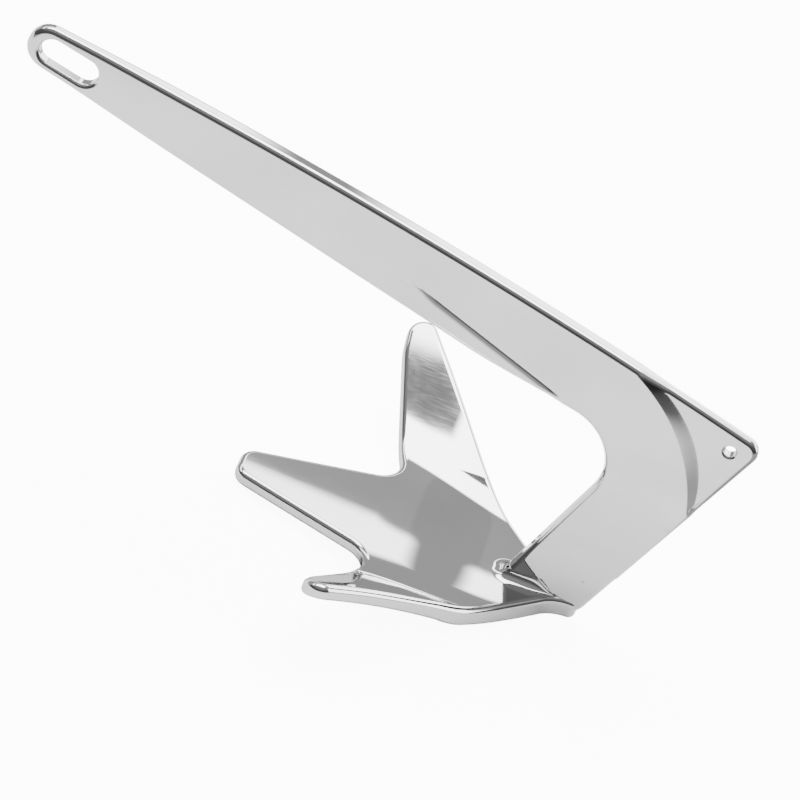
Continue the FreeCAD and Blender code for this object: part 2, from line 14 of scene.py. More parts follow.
import json
import logging
import math
from dataclasses import dataclass
from enum import Enum
from typing import Callable

import bpy
import numpy as np
from mathutils import Matrix, Vector
from mathutils.geometry import delaunay_2d_cdt


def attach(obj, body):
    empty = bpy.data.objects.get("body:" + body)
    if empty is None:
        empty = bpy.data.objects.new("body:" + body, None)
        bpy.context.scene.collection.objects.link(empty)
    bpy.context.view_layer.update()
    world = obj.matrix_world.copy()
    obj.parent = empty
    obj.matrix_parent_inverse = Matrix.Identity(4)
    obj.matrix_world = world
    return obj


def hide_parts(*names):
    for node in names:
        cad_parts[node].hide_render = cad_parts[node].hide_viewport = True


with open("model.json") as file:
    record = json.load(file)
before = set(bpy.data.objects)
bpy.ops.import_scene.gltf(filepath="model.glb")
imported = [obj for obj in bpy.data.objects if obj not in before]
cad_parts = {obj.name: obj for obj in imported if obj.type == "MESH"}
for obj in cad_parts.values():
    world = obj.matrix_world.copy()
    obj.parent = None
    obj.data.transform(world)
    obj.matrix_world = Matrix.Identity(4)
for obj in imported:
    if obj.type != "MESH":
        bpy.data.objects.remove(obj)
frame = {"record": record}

LOG = logging.getLogger("claw_anchor")
NODE = "claw_anchor"
MM = 0.001
# most point pairs compared at once when points are tested against an outline
PAIR_LIMIT = 3_000_000
# welding places to the millimetre, and the gap under which two points of a path are one
WELD_PER_MM = 100
SAME_POINT = 0.01
# height of a row of even triangles, and the clear strips along lines and rings, in spacings
ROW_HEIGHT = math.sqrt(0.75)
LINE_CLEAR = 0.4
RING_CLEAR = 0.6
# accuracy of the cut into triangles, and half the step over which a slope is measured
CUT_ACCURACY = 1e-5
SLOPE_STEP = 0.02

Array = np.ndarray
HeightField = Callable[[Array, Array], Array]


class Side(Enum):
    """Which way a height field looks along its height axis."""

    UPPER = 1.0
    LOWER = -1.0


def unit(vectors: Array) -> Array:
    """Vectors of length one."""
    return vectors / np.linalg.norm(vectors, axis=-1, keepdims=True)


def smooth_step(share: Array) -> Array:
    """Zero below 0, one above 1, and 3 t squared less 2 t cubed between them."""
    clipped = np.clip(share, 0.0, 1.0)
    return clipped ** 2 * (3.0 - 2.0 * clipped)


def soft_lower(first: Array, second: Array, width: float) -> Array:
    """The lower of two values, with the corner where they cross rounded over a width."""
    return (first + second - np.hypot(first - second, width)) / 2.0


def soft_above(value: Array, width: float) -> Array:
    """The value where it is above zero, else zero, with a rounded corner."""
    return (value + np.hypot(value, width)) / 2.0


def round_drop(inset: Array, radius: float) -> Array:
    """Drop of a rounded edge: radius less the root of radius squared less the rest squared."""
    rest = np.clip(radius - inset, 0.0, radius)
    return radius - np.sqrt(radius ** 2 - rest ** 2)


def field_slope(field: HeightField, first: Array, second: Array) -> tuple[Array, Array]:
    """Slope of a height field along its two axes, by central differences.

    Args:
        field: The height as a function of two coordinates.
        first: First coordinate of each point.
        second: Second coordinate of each point.

    Returns:
        The slope along the first axis and the slope along the second.
    """
    step = SLOPE_STEP
    along = (field(first + step, second) - field(first - step, second)) / (2 * step)
    across = (field(first, second + step) - field(first, second - step)) / (2 * step)
    return along, across


def line_meet(first: tuple[float, float], first_angle: float,
              second: tuple[float, float], second_angle: float) -> tuple[float, float]:
    """Meeting point of two lines, from the cross product of their directions.

    Args:
        first: A point of the first line.
        first_angle: The first line's angle, in degrees.
        second: A point of the second line.
        second_angle: The second line's angle, in degrees.

    Returns:
        The point where they meet.
    """
    turn_a, turn_b = math.radians(first_angle), math.radians(second_angle)
    gap = (second[0] - first[0], second[1] - first[1])
    cross = math.cos(turn_a) * math.sin(turn_b) - math.sin(turn_a) * math.cos(turn_b)
    share = (gap[0] * math.sin(turn_b) - gap[1] * math.cos(turn_b)) / cross
    return first[0] + share * math.cos(turn_a), first[1] + share * math.sin(turn_a)


class RoundedPath:
    """Closed path of straight runs and tangent arcs, round corners given as (a, b, radius)."""

    def __init__(self, corners: list[tuple[float, float, float]]) -> None:
        """Works out each corner's arc and the run that follows it.

        The arc of a corner touches both runs at radius over tan(half the corner's angle).

        Args:
            corners: The corners in counter-clockwise order, with their radii.
        """
        table = np.array(corners, dtype=float)
        points, self.radii = table[:, :2], table[:, 2]
        before = unit(np.roll(points, 1, axis=0) - points)
        after = unit(np.roll(points, -1, axis=0) - points)
        half_angle = np.arccos(np.clip(np.sum(before * after, axis=1), -1.0, 1.0)) / 2
        reach = (self.radii / np.tan(half_angle))[:, None]
        self.enter = points + before * reach
        self.leave = points + after * reach
        self.centre = points + unit(before + after) * (self.radii / np.sin(half_angle))[:, None]
        turn = np.cross(-before, after)
        self.turn = np.sign(turn) * (math.pi - 2 * half_angle)
        gap = np.roll(self.enter, -1, axis=0) - self.leave
        self.run = np.maximum(np.sum(gap * after, axis=1), 0.0)
        self.heading = after

    def sample(self, step: float, arc_angle: float) -> tuple[Array, Array]:
        """Points along the path and their outward normals.

        Args:
            step: Longest distance between two points.
            arc_angle: Largest turn between two points of an arc, in radians.

        Returns:
            The points and the normals, each as rows of two values.
        """
        points, normals = [], []
        for index, radius in enumerate(self.radii):
            sweep = self.turn[index]
            count = max(2, math.ceil(max(abs(sweep) * radius / step, abs(sweep) / arc_angle)))
            first = self.enter[index] - self.centre[index]
            angle = math.atan2(first[1], first[0]) + sweep * np.arange(count + 1) / count
            spoke = np.stack([np.cos(angle), np.sin(angle)], axis=1)
            points.append(self.centre[index] + radius * spoke)
            normals.append(spoke * np.sign(sweep))
            pieces = math.ceil(self.run[index] / step)
            if pieces > 1:
                along = self.run[index] * np.arange(1, pieces)[:, None] / pieces
                heading = self.heading[index]
                points.append(self.leave[index] + heading * along)
                normals.append(np.tile([heading[1], -heading[0]], (pieces - 1, 1)))
        every, facing = np.concatenate(points), np.concatenate(normals)
        apart = np.linalg.norm(np.roll(every, -1, axis=0) - every, axis=1) > SAME_POINT
        return every[apart], facing[apart]


def inside_and_clear(points: Array, rings: list[Array], clear: float) -> Array:
    """Which points lie inside the rings, by even and odd crossings, and clear of their corners.

    Args:
        points: Rows of two values.
        rings: Closed rings, the outer one and any holes.
        clear: Least distance from a ring's corners.

    Returns:
        One truth value for each point.
    """
    starts = np.concatenate(rings)
    ends = np.concatenate([np.roll(ring, -1, axis=0) for ring in rings])
    rise = ends[:, 1] - starts[:, 1]
    safe_rise = np.where(rise == 0.0, 1.0, rise)
    kept = []
    for block in np.array_split(points, max(1, len(points) * len(starts) // PAIR_LIMIT)):
        a, b = block[:, :1], block[:, 1:]
        spans = (starts[:, 1] > b) != (ends[:, 1] > b)
        meet = starts[:, 0] + (b - starts[:, 1]) * (ends[:, 0] - starts[:, 0]) / safe_rise
        crossings = np.sum(spans & (a < meet), axis=1)
        near = (a - starts[:, 0]) ** 2 + (b - starts[:, 1]) ** 2
        kept.append((crossings % 2 == 1) & (near.min(axis=1) > clear ** 2))
    return np.concatenate(kept)


def fill_rings(rings: list[Array], spacing: float, lines: list[Array]) -> tuple[Array, Array]:
    """Fills the region inside the first ring and outside the others with even triangles.

    Args:
        rings: The outer ring and the holes.
        spacing: Distance between the points of the filling grid.
        lines: Runs of points that edges have to follow, such as creases.

    Returns:
        The points, ring points first, and the triangles, counter-clockwise.
    """
    low, high = rings[0].min(axis=0), rings[0].max(axis=0)
    rows = np.arange(low[1], high[1], spacing * ROW_HEIGHT)
    columns = np.arange(low[0], high[0], spacing)
    across, up = np.meshgrid(columns, rows)
    across = across + spacing / 2 * (np.arange(len(rows)) % 2)[:, None]
    grid = np.stack([across.ravel(), up.ravel()], axis=1)
    grid = grid[inside_and_clear(grid, rings, spacing * RING_CLEAR)]
    on_lines = np.empty((0, 2))
    if lines:
        on_lines = np.concatenate(lines)
        on_lines = on_lines[inside_and_clear(on_lines, rings, spacing * LINE_CLEAR)]
        grid = grid[far_from(grid, on_lines, spacing * LINE_CLEAR)]
    points = np.concatenate([*rings, on_lines, grid])
    firsts = np.cumsum([0] + [len(ring) for ring in rings])
    edges = [(first + step, first + (step + 1) % len(ring))
             for first, ring in zip(firsts, rings) for step in range(len(ring))]
    corners = [Vector(point) for point in points.tolist()]
    found = delaunay_2d_cdt(corners, edges, [], 0, CUT_ACCURACY)
    sources = np.array([origins[0] for origins in found[3]])
    triangles = sources[np.array(found[2])]
    middles = points[triangles].mean(axis=1)
    return points, triangles[inside_and_clear(middles, rings, 0.0)]


def far_from(points: Array, others: Array, distance: float) -> Array:
    """Which points are further than a distance from all the others.

    Args:
        points: Rows of two values.
        others: Rows of two values.
        distance: The distance.

    Returns:
        One truth value for each point.
    """
    kept = []
    for block in np.array_split(points, max(1, len(points) * len(others) // PAIR_LIMIT)):
        gaps = (block[:, :1] - others[:, 0]) ** 2 + (block[:, 1:] - others[:, 1]) ** 2
        kept.append(gaps.min(axis=1) > distance ** 2)
    return np.concatenate(kept)


class Skin:
    """Collects grids and triangle sets with their true normals into one welded mesh."""

    def __init__(self) -> None:
        """Starts with no points."""
        self.points: list[Array] = []
        self.normals: list[Array] = []
        self.triangles: list[Array] = []
        self.count = 0

    def add(self, points: Array, normals: Array, triangles: Array) -> None:
        """Adds triangles and turns each one to look along its corners' normals.

        Args:
            points: Rows of three values.
            normals: The normal at each point, of any length.
            triangles: Rows of three point numbers.
        """
        corners = points[triangles]
        facing = np.cross(corners[:, 1] - corners[:, 0], corners[:, 2] - corners[:, 0])
        wrong = np.sum(facing * normals[triangles].sum(axis=1), axis=1) < 0
        turned = np.where(wrong[:, None], triangles[:, ::-1], triangles)
        self.points.append(points)
        self.normals.append(unit(normals))
        self.triangles.append(turned + self.count)
        self.count += len(points)

    def add_grid(self, points: Array, normals: Array, closed: bool = True) -> None:
        """Adds a grid of rows of points.

        Args:
            points: Rows, columns and coordinates.
            normals: The same for the normals.
            closed: Whether the last column joins the first.
        """
        rows, columns = points.shape[:2]
        index = np.arange(rows * columns).reshape(rows, columns)
        if closed:
            index = np.concatenate([index, index[:, :1]], axis=1)
        a, b = index[:-1, :-1].ravel(), index[:-1, 1:].ravel()
        c, d = index[1:, 1:].ravel(), index[1:, :-1].ravel()
        triangles = np.concatenate([np.stack([a, b, c], 1), np.stack([a, c, d], 1)])
        self.add(points.reshape(-1, 3), normals.reshape(-1, 3), triangles)

    def to_object(self, name: str, place: Matrix) -> bpy.types.Object:
        """Welds what was collected and makes an object of it.

        Points that agree to a hundredth of a millimetre become one, with their mean normal,
        and triangles that lose a corner go.

        Args:
            name: Name of the object and its mesh.
            place: Turn and shift from the collected millimetres to the scene's metres.

        Returns:
            The object, linked to the scene, at the origin.
        """
        points = np.concatenate(self.points)
        normals = np.concatenate(self.normals)
        triangles = np.concatenate(self.triangles)
        keys = np.round(points * WELD_PER_MM).astype(np.int64)
        _, first, which = np.unique(keys, axis=0, return_index=True, return_inverse=True)
        which = which.ravel()
        triangles = which[triangles]
        whole = (triangles[:, 0] != triangles[:, 1]) & (triangles[:, 1] != triangles[:, 2])
        triangles = triangles[whole & (triangles[:, 0] != triangles[:, 2])]
        mean = np.zeros((len(first), 3))
        np.add.at(mean, which, normals)
        scaled, turn = np.array(place.to_3x3()), np.array(place.to_3x3().normalized())
        placed = points[first] @ scaled.T + np.array(place.translation)
        mesh = bpy.data.meshes.new(name)
        mesh.from_pydata(placed, [], triangles.tolist())
        mesh.polygons.foreach_set("use_smooth", np.ones(len(triangles), dtype=bool))
        mesh.normals_split_custom_set_from_vertices((unit(mean) @ turn.T).tolist())
        mesh.validate()
        piece = bpy.data.objects.new(name, mesh)
        bpy.context.scene.collection.objects.link(piece)
        return piece


def mirrored(vectors: Array) -> Array:
    """The same vectors on the other side of the middle plane."""
    return vectors * np.array([1.0, -1.0, 1.0])


@dataclass
class Claw:
    """The claw's own frame: forward along the middle fluke, rise square to it."""

    angle: float = 10.0

    def turn(self) -> Array:
        """Rows that take (forward, side, rise) to the working frame."""
        cosine, sine = math.cos(math.radians(self.angle)), math.sin(math.radians(self.angle))
        return np.array([[-cosine, 0.0, -sine], [0.0, 1.0, 0.0], [-sine, 0.0, cosine]])

    def to_working(self, vectors: Array) -> Array:
        """Points or directions of the claw frame in the working frame."""
        return vectors @ self.turn().T


@dataclass
class Shank:
    """Shank, heel corner and arm: a flat bar with a slotted eye and a trip-line hole.

    Lengths are millimetres in the working frame, angles are degrees.
    """

    half: float = 5.0
    edge_round: float = 3.0
    eye_end: float = -421.5
    eye_lower: tuple[float, float] = (-15.2, 12.1)
    eye_upper: tuple[float, float] = (7.8, 11.7)
    eye_half: float = 4.0
    taper: tuple[float, float] = (-396.0, -335.0)
    slot_radius: float = 7.3
    slot_span: float = 18.4
    slot_start: tuple[float, float] = (-406.9, -4.3)
    slot_slope: float = -2.0
    slot_round: float = 2.0
    hole_radius: float = 3.25
    hole_centre: tuple[float, float] = (-5.6, -9.6)
    hole_round: float = 1.3
    web_half: float = 3.7
    web_foot: tuple[float, float, float] = (-77.1, -67.7, 75.0)
    web_top: tuple[float, float, float] = (-110.5, -104.3, 116.0)
    web_end: float = -75.0
    web_clear: float = 5.0
    web_rise: float = 3.0
    gap_corner: float = 0.6
    foot_corner: float = 0.05
    top_corner: float = 0.04
    facet_corner: float = 0.03
    web_lines: tuple[float, ...] = (-0.08, 0.0, 0.08, 0.92, 1.0, 1.08)
    web_angles: tuple[float, float, float] = (-2.0, 84.0, 0.7)
    facet_x: tuple[float, float, float] = (-330.0, -184.0, -98.0)
    facet_z: tuple[float, float, float] = (-10.0, -16.5, -31.0)
    facet_depth: tuple[float, float, float] = (0.03, 2.6, 0.9)
    facet_floor: float = -65.4
    facet_fade: tuple[float, float] = (-94.0, 10.0)
    hollow_x: tuple[float, float] = (-204.0, -90.0)
    hollow_depth: float = 1.4
    hollow_fall: float = 5.0
    hollow_lip: float = 1.0
    hollow_ends: tuple[float, float] = (30.0, 12.0)
    crease_step: float = 0.9
    crease_shifts: tuple[float, ...] = (-2.4, -1.6, -0.9, -0.4, 0.0, 0.3, 0.65, 1.2)
    bow: tuple[float, float] = (18.5, 3040.4)
    belly: tuple[float, float] = (-140.0, -35.4)
    belly_round: float = 200.0
    elbow_round: float = 32.0
    foot_rounds: tuple[float, float] = (6.0, 10.0)
    heel_round: float = 8.5
    foot_angle: float = 190.0
    back_lean: float = 12.06
    inner_lean: float = 10.2
    heel_top: float = 1.6
    back_point: tuple[float, float] = (7.6, -10.0)
    inner_point: tuple[float, float] = (-54.0, -75.0)
    foot_point: tuple[float, float] = (-21.92, -148.06)
    spacing: float = 1.7
    rim_step: float = 1.3
    arc_angle: float = 0.09
    slot_sample: tuple[float, float] = (1.2, 0.08)
    hole_points: int = 72
    thin_wall: float = 0.3
    wall_shares: tuple[float, float] = (0.6, 0.4)
    round_steps: int = 8

    def corners(self) -> list[tuple[float, float, float]]:
        """Side view as corners and radii, counter-clockwise from the lower eye.

        The corners of the elbow, the arm's foot and the heel are the meeting points of the
        lines along the belly, the arm's inner side, its foot, its back and the bow.

        Returns:
            The corners as (x, z, radius).
        """
        back, inner = -90.0 - self.back_lean, -90.0 - self.inner_lean
        bow = (self.eye_end / 2, self.bow[0])
        top = math.degrees(math.atan2(self.heel_top - bow[1], -bow[0]))
        toe = line_meet(self.inner_point, inner, self.foot_point, self.foot_angle)
        spur = line_meet(self.back_point, back, self.foot_point, self.foot_angle)
        return [
            (self.eye_end, *self.eye_lower), (*self.belly, self.belly_round),
            (*line_meet(self.belly, 0.0, self.inner_point, inner), self.elbow_round),
            (*toe, self.foot_rounds[0]), (*spur, self.foot_rounds[1]),
            (*line_meet(bow, top, self.back_point, back), self.heel_round),
            (*bow, self.bow[1]), (self.eye_end, *self.eye_upper),
        ]

    def web_share(self, x: Array, z: Array) -> Array:
        """Share of the slope round the heel corner: 0 on its foot circle, 1 on its top circle.

        It is the distance inside the foot circle over the whole gap between the circles, and
        it is below 0 everywhere outside the foot circle. Left of web_end it is held high.

        Args:
            x: X of each point.
            z: Z of each point.

        Returns:
            The share at each point.
        """
        inside = self.web_foot[2] - np.hypot(x - self.web_foot[0], z - self.web_foot[1])
        beyond = np.hypot(x - self.web_top[0], z - self.web_top[1]) - self.web_top[2]
        share = inside / soft_above(inside + beyond, self.gap_corner)
        return np.where(x < self.web_end, self.web_clear, share)

    def half_thickness(self, x: Array, z: Array) -> Array:
        """Distance of the side from the middle plane.

        It is the lowest of three: the flat side, which thins towards the eye, the facet,
        a plane that leans inwards below its crease, and the slope down to the thin heel.

        Args:
            x: X of each point.
            z: Z of each point.

        Returns:
            The distance at each point.
        """
        share = smooth_step((x - self.taper[0]) / (self.taper[1] - self.taper[0]))
        flat = self.eye_half + (self.half - self.eye_half) * share
        crease = np.interp(x, self.facet_x, self.facet_z)
        depth = np.interp(x, self.facet_x, self.facet_depth)
        depth = depth * smooth_step((self.facet_fade[0] - x) / self.facet_fade[1])
        facet = self.half + depth * (z - crease) / (crease - self.facet_floor)
        sides = soft_lower(flat, facet, self.facet_corner) - self.crease_hollow(x, crease - z)
        rise = soft_above(self.web_share(x, z), self.foot_corner)
        web = self.web_half + (self.half - self.web_half) * rise
        return soft_lower(sides, np.minimum(web, self.half + self.web_rise), self.top_corner)

    def crease_hollow(self, x: Array, below: Array) -> Array:
        """Depth of the hollow under the facet's crease.

        It is deepest at the crease and dies away below it by e for each hollow_fall. Above
        the crease it ends in a short smooth step, and it comes and goes along the shank.

        Args:
            x: X of each point.
            below: Distance of each point below the crease.

        Returns:
            The depth at each point.
        """
        (start, end), (grow, fade) = self.hollow_x, self.hollow_ends
        length = smooth_step((x - start) / grow) * smooth_step((end - x) / fade)
        lip = smooth_step((below + self.hollow_lip) / self.hollow_lip)
        fall = np.exp(-np.clip(below, 0.0, None) / self.hollow_fall)
        return self.hollow_depth * length * lip * fall

    def crease_lines(self) -> list[Array]:
        """Runs of points along both circles of the heel slope and along the facet's crease.

        Each circle is the foot circle moved a share of the way to the top one, centre and
        radius alike, and each run at the crease is the crease moved up or down.

        Returns:
            The runs, each as rows of (x, z).
        """
        angle = np.radians(np.arange(*self.web_angles))
        spokes = np.stack([np.cos(angle), np.sin(angle)], 1)
        foot, top = np.array(self.web_foot), np.array(self.web_top)
        circles = [foot + share * (top - foot) for share in self.web_lines]
        x = np.arange(*self.hollow_x, self.crease_step)
        z = np.interp(x, self.facet_x, self.facet_z)
        return ([circle[:2] + circle[2] * spokes for circle in circles]
                + [np.stack([x, z + shift], 1) for shift in self.crease_shifts])

    def slot_ring(self) -> tuple[Array, Array]:
        """Outline of the shackle slot: a rectangle with ends rounded to half its width.

        Returns:
            Points and normals as rows of (x, z). The normals point into the metal.
        """
        slope = math.radians(self.slot_slope)
        along = np.array([math.cos(slope), math.sin(slope)])
        across = np.array([-along[1], along[0]])
        start = np.array(self.slot_start)
        end = start + along * self.slot_span
        reach, radius = self.slot_radius, self.slot_radius - 0.001
        corners = [start - along * reach - across * reach, end + along * reach - across * reach,
                   end + along * reach + across * reach, start - along * reach + across * reach]
        path = RoundedPath([(*corner, radius) for corner in corners])
        return path.sample(*self.slot_sample)

    def hole_ring(self) -> tuple[Array, Array]:
        """Outline of the trip-line hole, a circle.

        Returns:
            Points and normals as rows of (x, z). The normals point into the metal.
        """
        angle = np.linspace(0.0, 2 * math.pi, self.hole_points, endpoint=False)
        spoke = np.stack([np.cos(angle), np.sin(angle)], axis=1)
        return np.array(self.hole_centre) + self.hole_radius * spoke, spoke

    def side_normals(self, points: Array) -> Array:
        """Normals of the flat side at side-view points."""
        along, up = field_slope(self.half_thickness, points[:, 0], points[:, 1])
        return unit(np.stack([-along, np.ones_like(along), -up], axis=1))

    def edge_rows(self, outline: Array, outward: Array, radius: Array) -> tuple[Array, Array]:
        """Rounded edge from the flat side to the wall, carried along an outline.

        At a turn of t the profile lies radius times (1 - sin t) in from the wall and radius
        times (1 - cos t) below the side, and its normal turns with it.

        Args:
            outline: Points of the wall in the side view.
            outward: Normals that point out of the metal.
            radius: Radius of the edge at each point.

        Returns:
            Points and normals as rows across the edge, the last row on the wall.
        """
        inner = outline - outward * radius[:, None]
        level = self.half_thickness(inner[:, 0], inner[:, 1])
        face = self.side_normals(inner)
        wall = np.stack([outward[:, 0], np.zeros(len(outward)), outward[:, 1]], axis=1)
        turn = np.linspace(0.0, math.pi / 2, self.round_steps + 1)[:, None]
        plan = outline[None] - outward[None] * (radius * (1 - np.sin(turn)))[:, :, None]
        height = level - radius * (1 - np.cos(turn))
        points = np.stack([plan[..., 0], height, plan[..., 1]], axis=2)
        normals = np.sin(turn)[:, :, None] * wall + np.cos(turn)[:, :, None] * face
        return points, unit(normals)

    def build(self, skin: Skin) -> None:
        """Adds the bar: two sides with their creases, the rounded edges and the two holes.

        Where the wall between the slot and the outline is thin, both edge radii shrink to
        shares of it.

        Args:
            skin: Where the bar's surfaces are collected.
        """
        outline, outward = RoundedPath(self.corners()).sample(self.rim_step, self.arc_angle)
        slot, slot_out = self.slot_ring()
        hole, hole_out = self.hole_ring()
        gaps = np.linalg.norm(outline[:, None] - slot[None], axis=2)
        outer_share, slot_share = self.wall_shares
        outer_round = np.minimum(self.edge_round,
                                 outer_share * (gaps.min(axis=1) - self.thin_wall))
        slot_round = np.minimum(self.slot_round,
                                slot_share * (gaps.min(axis=0) - self.thin_wall))
        rims = [(outline, outward, outer_round), (slot, -slot_out, slot_round),
                (hole, -hole_out, np.full(len(hole), self.hole_round))]
        for ring, facing, radius in rims:
            points, normals = self.edge_rows(ring, facing, radius)
            other, other_normals = mirrored(points)[::-1], mirrored(normals)[::-1]
            skin.add_grid(np.concatenate([points, other]),
                          np.concatenate([normals, other_normals]))
        inner = [ring - facing * radius[:, None] for ring, facing, radius in rims]
        plan, triangles = fill_rings(inner, self.spacing, self.crease_lines())
        height = self.half_thickness(plan[:, 0], plan[:, 1])
        points = np.stack([plan[:, 0], height, plan[:, 1]], axis=1)
        normals = self.side_normals(plan)
        skin.add(points, normals, triangles)
        skin.add(mirrored(points), mirrored(normals), triangles)


@dataclass
class Scoop:
    """Three flukes in one trough, with a hollow floor, bent flanks and a rounded rim.

    Lengths are millimetres in the claw frame, angles are degrees. The plan's corners are
    (forward, side, radius), from the middle fluke's tip back to the outer fluke's rear edge.
    """

    claw: Claw
    plan: tuple[tuple[float, float, float], ...] = (
        (243.5, 11.2, 10.0), (158.2, 37.4, 15.0), (184.6, 112.0, 40.0), (190.5, 151.0, 8.5),
        (119.0, 67.0, 250.0))
    neck: tuple[tuple[float, float], ...] = ((60.0, 18.0), (47.3, 4.4))
    depth: float = 128.2
    thick: float = 8.4
    crown_thick: float = 12.95
    crown_ridge: float = 75.0
    crown_length: float = 46.8
    crown_half: float = 75.0
    crown_power: int = 6
    floor_level: float = 165.0
    floor_climb: float = 75.0
    floor_drop: float = 5.5
    floor_radius: float = 900.0
    knee_half: float = 60.0
    knee_angle: float = 12.4
    knee_soft: float = 5.0
    flank_angle: float = 29.7
    neck_half: float = 4.6
    rim_round: float = 3.2
    spacing: float = 2.0
    rim_step: float = 1.3
    arc_angle: float = 0.09
    wall_step: float = 0.5
    tilt_rounds: int = 4
    round_steps: int = 8

    def corners(self) -> list[tuple[float, float, float]]:
        """The whole plan's corners, counter-clockwise: the plan, the neck and their mirror image.

        Returns:
            The corners as (forward, side, radius).
        """
        near = [*self.plan, *((forward, self.neck_half, radius) for forward, radius in self.neck)]
        return near + [(forward, -side, radius) for forward, side, radius in near[::-1]]

    def upper(self, forward: Array, side: Array) -> Array:
        """Rise of the upper face: a shallow round floor with a flank bent up on each side.

        The floor drops by a smooth step towards the crown, the hollow is the side squared
        over twice its radius, and the flank is a soft-cornered slope beyond the knee.

        Args:
            forward: Distance of each point along the middle fluke.
            side: Distance of each point from the middle plane.

        Returns:
            The rise at each point.
        """
        floor = -self.depth - self.floor_drop * smooth_step(
            (self.floor_level - forward) / self.floor_climb)
        hollow = np.minimum(np.abs(side), self.knee_half) ** 2 / (2 * self.floor_radius)
        spread = math.tan(math.radians(self.knee_angle))
        knee = self.knee_half + spread * (forward - self.floor_level)
        slope = math.tan(math.radians(self.flank_angle))
        flank = slope * soft_above(np.abs(side) - knee, self.knee_soft)
        return floor + hollow + flank - slope * soft_above(-knee, self.knee_soft)

    def lower(self, forward: Array, side: Array) -> Array:
        """Rise of the lower face: the upper one less the wall, measured square to it.

        The wall thickens at the crown by a bell curve along the middle fluke, which dies away
        at the sides by one over one plus a power of the side.

        Args:
            forward: Distance of each point along the middle fluke.
            side: Distance of each point from the middle plane.

        Returns:
            The rise at each point.
        """
        ahead = (forward - self.crown_ridge) / self.crown_length
        outward = side / self.crown_half
        extra = self.crown_thick - self.thick
        wall = self.thick + extra * np.exp(-ahead ** 2) / (1 + outward ** self.crown_power)
        slope = (self.upper(forward, side + self.wall_step)
                 - self.upper(forward, side - self.wall_step)) / (2 * self.wall_step)
        return self.upper(forward, side) - wall * np.hypot(1.0, slope)

    def face_normals(self, plan: Array, face: Side) -> Array:
        """Normals of the upper or lower face at plan points, from its two slopes.

        Args:
            plan: Rows of (forward, side).
            face: Which face.

        Returns:
            The unit normals in the claw frame.
        """
        field = self.upper if face is Side.UPPER else self.lower
        along, across = field_slope(field, plan[:, 0], plan[:, 1])
        return face.value * unit(np.stack([-along, -across, np.ones_like(along)], axis=1))

    def rim_rows(self, plan: Array, outward: Array, face: Side) -> tuple[Array, Array, Array]:
        """Rounded rim from one face to the upright wall, carried along the plan.

        A circle touches the wall and the plane that the face has where the rim starts. With
        that plane's tilt t towards the rim, it touches the plane radius times (1 + sin t) in
        from the wall, and its centre lies radius times cos t below that point. The normal is
        square to the circle and to the slope along the rim.

        Args:
            plan: Points of the plan's outline.
            outward: Their outward normals.
            face: The face that the rim starts from.

        Returns:
            Points and normals as rows, the first on the face, and the plan of the first row.
        """
        field = self.upper if face is Side.UPPER else self.lower
        radius = self.rim_round
        tilt = np.zeros(len(plan))
        for _ in range(self.tilt_rounds):
            inner = plan - outward * (radius * (1 + np.sin(tilt)))[:, None]
            along, across = field_slope(field, inner[:, 0], inner[:, 1])
            tilt = np.arctan(face.value * (along * outward[:, 0] + across * outward[:, 1]))
        centre = field(inner[:, 0], inner[:, 1]) - face.value * radius * np.cos(tilt)
        turn = np.linspace(1.0, 0.0, self.round_steps + 1)[:, None] * (math.pi / 2 + tilt)
        offset = radius * (np.cos(turn) - 1.0)
        placed = plan[None] + outward[None] * offset[:, :, None]
        rise = centre + face.value * radius * np.sin(turn)
        points = np.concatenate([placed, rise[:, :, None]], axis=2)
        flat = np.zeros((len(outward), 1))
        outwards = np.concatenate([outward, flat], axis=1)
        upwards = np.array([0.0, 0.0, face.value])
        normals = np.cos(turn)[:, :, None] * outwards + np.sin(turn)[:, :, None] * upwards
        climb = across * outward[:, 0] - along * outward[:, 1]
        run = np.concatenate([-outward[:, 1:], outward[:, :1], climb[:, None]], axis=1)
        profile = face.value * np.cos(turn)[:, :, None] * np.array([0.0, 0.0, 1.0])
        profile = profile - np.sin(turn)[:, :, None] * outwards
        square = unit(np.cross(profile, run))
        normals = square * np.sign(np.sum(square * normals, axis=2))[:, :, None]
        return points, normals, placed[0]

    def build(self, skin: Skin) -> None:
        """Adds the scoop: its two faces, and the rim as one grid between them.

        Args:
            skin: Where the scoop's surfaces are collected.
        """
        plan, outward = RoundedPath(self.corners()).sample(self.rim_step, self.arc_angle)
        rows, facings = [], []
        for face in Side:
            points, normals, ring = self.rim_rows(plan, outward, face)
            order = slice(None) if face is Side.UPPER else slice(None, None, -1)
            rows.append(points[order])
            facings.append(normals[order])
            inner, triangles = fill_rings([ring], self.spacing, [])
            field = self.upper if face is Side.UPPER else self.lower
            rise = field(inner[:, 0], inner[:, 1])
            rise[:len(ring)] = points[0, :, 2]
            surface = np.concatenate([inner, rise[:, None]], axis=1)
            skin.add(self.claw.to_working(surface),
                     self.claw.to_working(self.face_normals(inner, face)), triangles)
        skin.add_grid(self.claw.to_working(np.concatenate(rows)),
                      self.claw.to_working(np.concatenate(facings)))


